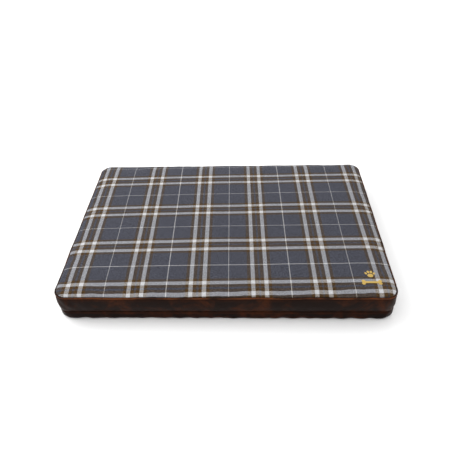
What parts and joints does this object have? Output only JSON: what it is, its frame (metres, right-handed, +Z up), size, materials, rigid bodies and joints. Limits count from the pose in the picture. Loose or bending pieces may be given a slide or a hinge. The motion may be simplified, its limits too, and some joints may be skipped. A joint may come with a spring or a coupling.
{
  "type": "pet cushion bed",
  "caption": "Low boxed rectangular pet cushion bed with a plaid woven top, piped edge, brown leatherette sides and a zip-off cover over a foam core.",
  "frame": {"origin": "middle of the flat base, on the floor", "axes": "+X along the long side to the right, +Y towards the back, +Z up; the emblem's corner and the fold are at the front, -Y"},
  "size_m": [1, 0.7, 0.1017],
  "materials": {
    "plaid_cloth": "woven wool-look check, matt",
    "leatherette": "dark brown mottled leatherette, semi-matt",
    "piping_leatherette": "brown leatherette wrapped round a cord, satin",
    "base_cloth": "dark brown grained underside, matt",
    "sleeve_cloth": "plain off-white knit, matt",
    "base_foam": "open-cell grey foam, matt",
    "memory_foam": "fine-cell cream foam, matt",
    "wadding": "white fibre wadding, matt",
    "cotton_cord": "twisted cotton cord, matt",
    "zip_tape": "dark brown woven tape, matt",
    "zip_teeth": "dark nylon coil, satin",
    "zip_metal": "antiqued brass, satin",
    "gold_thread": "gold embroidery thread, satin"
  },
  "bodies": {
    "cover_base": {"base_panel": "base_cloth", "lower_band_front": "leatherette", "lower_band_right": "leatherette", "lower_band_back": "leatherette", "lower_band_left": "leatherette", "sleeve_base": "sleeve_cloth", "base_foam": "base_foam", "memory_foam": "memory_foam", "wadding": "wadding", "sleeve_top": "sleeve_cloth", "zip_tape_lower": "zip_tape", "zip_coil_lower": "zip_teeth", "zip_end_stops": "zip_metal"},
    "cover_top": {"zip_tape_upper": "zip_tape", "zip_coil_upper": "zip_teeth", "border_front": "leatherette", "border_right": "leatherette", "border_back": "leatherette", "border_left": "leatherette", "piping_cord": "cotton_cord", "top_piping": "piping_leatherette", "top_panel": "plaid_cloth", "emblem": "gold_thread"},
    "slider_left": {"zip_slider_left": "zip_metal"},
    "slider_right": {"zip_slider_right": "zip_metal"},
    "pull_left": {"zip_pull_left": "zip_metal"},
    "pull_right": {"zip_pull_right": "zip_metal"}
  },
  "joints": [
    {"name": "cover_open", "type": "hinge", "parent": "cover_base", "child": "cover_top", "pos_m": [0, -0.3446, 0.029], "axis": [1, 0, 0], "range_deg": [0, 100]},
    {"name": "slider_left_run", "type": "slide", "parent": "cover_base", "child": "slider_left", "axis": [-1, 0, 0], "range_m": [0, 0.44]},
    {"name": "slider_right_run", "type": "slide", "parent": "cover_base", "child": "slider_right", "axis": [1, 0, 0], "range_m": [0, 0.44]},
    {"name": "pull_left_swing", "type": "hinge", "parent": "slider_left", "child": "pull_left", "pos_m": [-0.009, 0.34812, 0.029], "axis": [1, 0, 0], "range_deg": [0, 165]},
    {"name": "pull_right_swing", "type": "hinge", "parent": "slider_right", "child": "pull_right", "pos_m": [0.009, 0.34812, 0.029], "axis": [1, 0, 0], "range_deg": [0, 165]}
  ]
}
